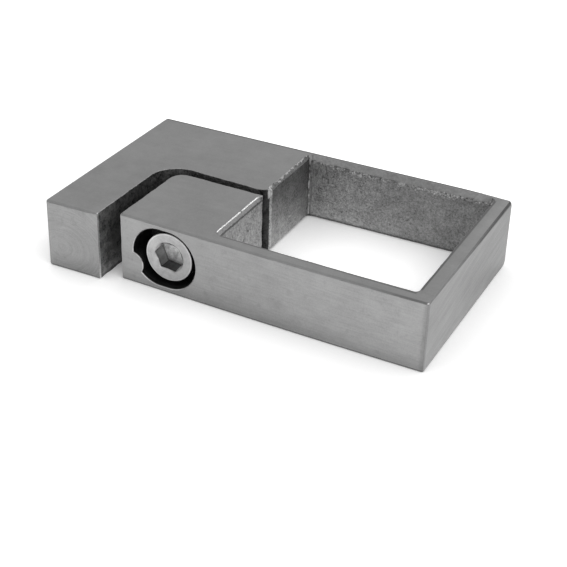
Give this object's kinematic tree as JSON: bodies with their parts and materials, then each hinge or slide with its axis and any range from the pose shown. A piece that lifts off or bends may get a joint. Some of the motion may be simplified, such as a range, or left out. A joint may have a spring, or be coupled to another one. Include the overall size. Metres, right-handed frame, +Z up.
{
  "type": "side-mount post bracket",
  "caption": "Flat cast wall bracket with a square opening for a post, cut by an L-shaped slot so that a socket-head screw draws a clamp arm in.",
  "frame": {"origin": "on the post's axis, in the plane of the bracket's bottom face", "axes": "+Z up along the post; -X towards the wall; the clamp screw's head faces -Y"},
  "size_m": [0.0794, 0.0454, 0.0143],
  "materials": {
    "bracket_steel": "brushed outside, rough as cast inside the opening and the slot",
    "screw_steel": "cold headed, faintly bright"
  },
  "bodies": {
    "bracket": {"bracket_body": "bracket_steel"},
    "screw": {"clamp_screw": "screw_steel"}
  },
  "joints": [
    {"name": "screw_turn", "type": "hinge", "parent": "bracket", "child": "screw", "pos_m": [-0.03005, -0.01448, 0.00715], "axis": [0, 1, 0], "range_deg": [-3270, 785]}
  ]
}
